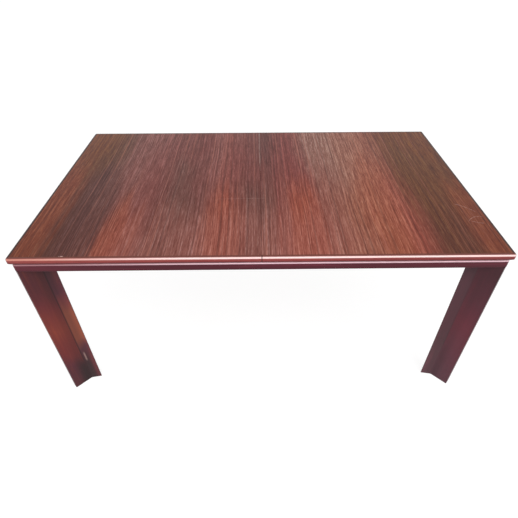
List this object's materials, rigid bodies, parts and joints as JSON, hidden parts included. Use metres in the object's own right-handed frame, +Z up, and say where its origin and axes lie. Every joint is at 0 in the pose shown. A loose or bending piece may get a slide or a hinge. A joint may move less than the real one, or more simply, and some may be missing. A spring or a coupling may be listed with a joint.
{
  "type": "extending dining table",
  "caption": "Rectangular dining table whose top halves slide apart over a fixed frame with three-winged corner legs; a loose leaf is stored inside.",
  "frame": {"origin": "on the floor under the middle of the table", "axes": "+X along the closed table towards its right end, +Y from the front edge to the back edge, +Z up"},
  "size_m": [1.64, 0.98, 0.73],
  "materials": {
    "top_veneer": "striped rosewood veneer under satin-gloss lacquer",
    "lipping_wood": "solid red-brown wood, rounded, glossy lacquer",
    "base_wood": "stained red-brown wood, satin lacquer",
    "inner_wood": "bare planed beech",
    "steel": "zinc-plated steel",
    "glide_plastic": "hard nylon"
  },
  "bodies": {
    "base": {"leg_front_left": "base_wood", "leg_front_right": "base_wood", "leg_back_left": "base_wood", "leg_back_right": "base_wood", "apron_front": "base_wood", "apron_back": "base_wood", "apron_left": "base_wood", "apron_right": "base_wood", "rim_front": "base_wood", "rim_back": "base_wood", "rim_left": "base_wood", "rim_right": "base_wood", "corner_blocks": "inner_wood", "apron_dowels": "inner_wood", "cross_rail_left": "inner_wood", "cross_rail_middle": "inner_wood", "cross_rail_right": "inner_wood", "guide_front": "inner_wood", "guide_back": "inner_wood", "leaf_dowels": "inner_wood", "hanger_bolts": "steel", "hanger_nuts": "steel", "guide_screws": "steel", "pinion_pins": "steel", "glides": "glide_plastic", "leaf_board": "top_veneer", "leaf_lippings": "lipping_wood"},
    "left_top": {"left_board": "top_veneer", "left_end_lipping": "lipping_wood", "left_front_lipping": "lipping_wood", "left_back_lipping": "lipping_wood", "left_front_runner": "inner_wood", "left_back_runner": "inner_wood", "left_racks": "steel", "left_runner_screws": "steel", "left_rack_screws": "steel", "left_stop_pegs": "inner_wood", "left_seam_dowels": "inner_wood", "left_lock_plate": "steel", "left_lock_catch": "steel", "left_lock_screws": "steel"},
    "right_top": {"right_board": "top_veneer", "right_end_lipping": "lipping_wood", "right_front_lipping": "lipping_wood", "right_back_lipping": "lipping_wood", "right_front_runner": "inner_wood", "right_back_runner": "inner_wood", "right_racks": "steel", "right_runner_screws": "steel", "right_rack_screws": "steel", "right_stop_pegs": "inner_wood", "right_seam_dowels": "inner_wood", "right_lock_plate": "steel", "right_lock_catch": "steel", "right_lock_screws": "steel"},
    "pinion_front": {"pinion_front": "steel"},
    "pinion_back": {"pinion_back": "steel"},
    "lever_front": {"lock_lever_front": "steel"},
    "lever_back": {"lock_lever_back": "steel"}
  },
  "joints": [
    {"name": "left_slide", "type": "slide", "parent": "base", "child": "left_top", "axis": [-1, 0, 0], "range_m": [0, 0.25]},
    {"name": "right_slide", "type": "slide", "parent": "base", "child": "right_top", "axis": [1, 0, 0], "range_m": [0, 0.25]},
    {"name": "front_pinion_turn", "type": "hinge", "parent": "base", "child": "pinion_front", "pos_m": [0, -0.296, 0.669], "axis": [0, 0, 1], "range_deg": [-955, 0]},
    {"name": "back_pinion_turn", "type": "hinge", "parent": "base", "child": "pinion_back", "pos_m": [0, 0.296, 0.669], "axis": [0, 0, 1], "range_deg": [-955, 0]},
    {"name": "front_lock", "type": "hinge", "parent": "left_top", "child": "lever_front", "pos_m": [-0.012, -0.3565, 0.697], "axis": [0, 0, -1], "range_deg": [0, 42]},
    {"name": "back_lock", "type": "hinge", "parent": "right_top", "child": "lever_back", "pos_m": [0.012, 0.3565, 0.697], "axis": [0, 0, -1], "range_deg": [0, 42]}
  ],
  "couplings": [
    {"joint": "right_slide", "follows": "left_slide", "ratio": 1},
    {"joint": "front_pinion_turn", "follows": "left_slide", "rad_per_m": -66.667},
    {"joint": "back_pinion_turn", "follows": "left_slide", "rad_per_m": -66.667}
  ]
}
